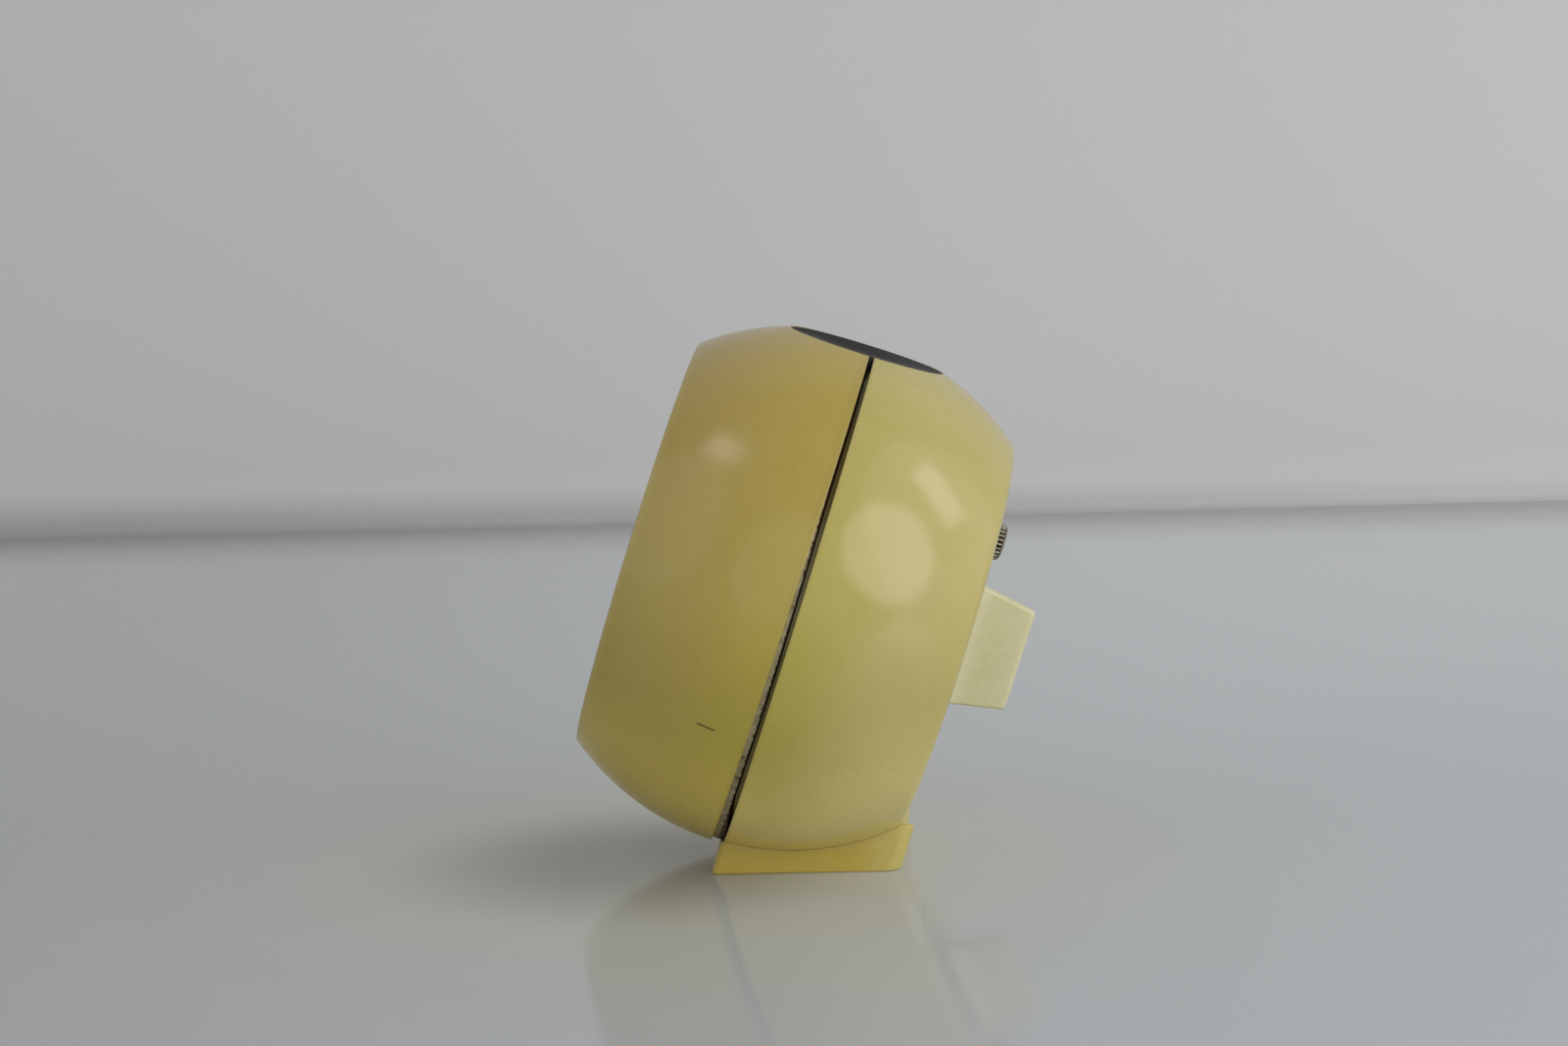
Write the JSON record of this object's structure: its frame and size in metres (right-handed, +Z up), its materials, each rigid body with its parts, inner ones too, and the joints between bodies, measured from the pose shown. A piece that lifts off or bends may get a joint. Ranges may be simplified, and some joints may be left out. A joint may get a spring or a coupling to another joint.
{
  "type": "kitchen timer",
  "caption": "Ball-shaped clockwork kitchen timer leaning back on a wedge foot, with a round stop button on top and a winding key and knurled setting knob at the back.",
  "frame": {"origin": "centre of the foot's flat resting face, on the table", "axes": "+Z up, the dial faces -Y and leans back, +X is to the right of somebody who reads the dial"},
  "size_m": [0.092, 0.0806, 0.0929],
  "materials": {
    "case_plastic": "semi-gloss yellowed cream plastic",
    "foot_plastic": "semi-gloss yellow plastic",
    "key_plastic": "semi-gloss ivory plastic",
    "black_plastic": "satin black plastic",
    "lens": "clear flat lens",
    "dial": "matt ivory printed dial",
    "pointer": "orange pointer",
    "brass": "stamped brass",
    "steel": "plain steel",
    "spring_steel": "blued spring steel",
    "aged_metal": "dull aged plated metal, knurled"
  },
  "bodies": {
    "case": {"front_case": "case_plastic", "rear_case": "case_plastic", "foot": "foot_plastic", "foot_screw_left": "steel", "foot_screw_right": "steel", "case_screw_bottom": "steel", "case_screw_left": "steel", "case_screw_right": "steel", "bezel_ring": "black_plastic", "lens": "lens", "dial_spacer": "black_plastic", "dial": "dial", "front_plate": "brass", "middle_plate": "brass", "barrel_bridge": "brass", "pillar_upper": "brass", "pillar_left": "brass", "pillar_right": "brass", "bridge_pillar_right": "brass", "bridge_pillar_left": "brass", "bridge_pillar_bottom": "brass", "movement_screw_upper": "steel", "movement_screw_left": "steel", "movement_screw_lower": "steel", "click_stud": "steel", "click_spring": "spring_steel", "bell": "steel", "bell_post_left": "steel", "bell_post_right": "steel", "button_guide": "black_plastic", "button_spring": "spring_steel"},
    "pointer_group": {"pointer": "pointer", "pointer_arbor": "steel", "pointer_wheel": "brass"},
    "setting_group": {"setting_arbor": "steel", "setting_wheel": "brass", "setting_knob": "aged_metal"},
    "winding_group": {"winding_arbor": "steel", "ratchet_wheel": "steel", "winding_key": "key_plastic"},
    "barrel_group": {"great_wheel": "brass", "mainspring_barrel": "brass", "barrel_lid": "brass", "mainspring": "spring_steel"},
    "hour_group": {"hour_pipe": "steel", "hour_wheel": "brass"},
    "third_group": {"third_arbor": "steel", "third_wheel": "brass"},
    "fourth_group": {"fourth_arbor": "steel", "fourth_wheel": "brass"},
    "escape_group": {"escape_arbor": "steel", "escape_wheel": "brass"},
    "pallet": {"pallet_lever": "steel"},
    "balance": {"balance_wheel": "brass", "balance_staff": "steel", "hairspring": "spring_steel"},
    "click_pawl": {"click": "steel"},
    "bell_hammer": {"hammer": "steel"},
    "button": {"stop_button": "black_plastic"},
    "release": {"stop_lever": "steel"}
  },
  "joints": [
    {"name": "button_press", "type": "slide", "parent": "case", "child": "button", "axis": [0, -0.32, -0.9474], "range_m": [0, 0.002], "stiffness_N_per_m": 900, "springref_m": -0.0012, "deforming": ["button_spring"]},
    {"name": "stop_lever_turn", "type": "hinge", "parent": "case", "child": "release", "pos_m": [-0.0105, 0.0071, 0.07272], "axis": [0, 0.9474, -0.32], "range_deg": [0, 13.6]},
    {"name": "pointer_turn", "type": "hinge", "parent": "case", "child": "pointer_group", "pos_m": [0, -0.0016, 0.04695], "axis": [0, 0.9474, -0.32], "range_deg": [0, 354]},
    {"name": "setting_turn", "type": "hinge", "parent": "case", "child": "setting_group", "pos_m": [0, 0.00435, 0.06457], "axis": [0, 0.9474, -0.32], "range_deg": [-354, 0]},
    {"name": "winding_turn", "type": "hinge", "parent": "case", "child": "winding_group", "pos_m": [0, -0.0016, 0.04695], "axis": [0, -0.9474, 0.32], "range_deg": [0, 1080]},
    {"name": "barrel_turn", "type": "hinge", "parent": "case", "child": "barrel_group", "pos_m": [0, -0.0016, 0.04695], "axis": [0, 0.9474, -0.32], "range_deg": [0, 90]},
    {"name": "hour_turn", "type": "hinge", "parent": "case", "child": "hour_group", "pos_m": [0, 0.00435, 0.06457], "axis": [0, 0.9474, -0.32], "range_deg": [-360, 0]},
    {"name": "third_turn", "type": "hinge", "parent": "case", "child": "third_group", "pos_m": [0.01212, 0.00211, 0.05794], "axis": [0, 0.9474, -0.32], "range_deg": [0, 1800]},
    {"name": "fourth_turn", "type": "hinge", "parent": "case", "child": "fourth_group", "pos_m": [0.01691, -0.0021, 0.04548], "axis": [0, 0.9474, -0.32], "range_deg": [-9000, 0]},
    {"name": "escape_turn", "type": "hinge", "parent": "case", "child": "escape_group", "pos_m": [0.00791, -0.00553, 0.03531], "axis": [0, 0.9474, -0.32], "range_deg": [0, 45000]},
    {"name": "pallet_rock", "type": "hinge", "parent": "case", "child": "pallet", "pos_m": [-0.00111, -0.00658, 0.0322], "axis": [0, 0.9474, -0.32], "range_deg": [-2.8, 2.8]},
    {"name": "balance_swing", "type": "hinge", "parent": "case", "child": "balance", "pos_m": [-0.0132, -0.00627, 0.03312], "axis": [0, 0.9474, -0.32], "range_deg": [-150, 150], "stiffness_Nm_per_rad": 0.00002},
    {"name": "click_lift", "type": "hinge", "parent": "case", "child": "click_pawl", "pos_m": [0.0112, -0.00262, 0.04392], "axis": [0, 0.9474, -0.32], "range_deg": [0, 3]},
    {"name": "hammer_strike", "type": "hinge", "parent": "case", "child": "bell_hammer", "pos_m": [-0.019, 0.00144, 0.05595], "axis": [0, 0.9474, -0.32], "range_deg": [-3.4, 10]}
  ],
  "couplings": [
    {"joint": "stop_lever_turn", "follows": "button_press", "rad_per_m": 117.81},
    {"joint": "setting_turn", "follows": "pointer_turn", "ratio": -1},
    {"joint": "hour_turn", "follows": "barrel_turn", "ratio": -4},
    {"joint": "third_turn", "follows": "barrel_turn", "ratio": 20},
    {"joint": "fourth_turn", "follows": "barrel_turn", "ratio": -100},
    {"joint": "escape_turn", "follows": "barrel_turn", "ratio": 500}
  ]
}
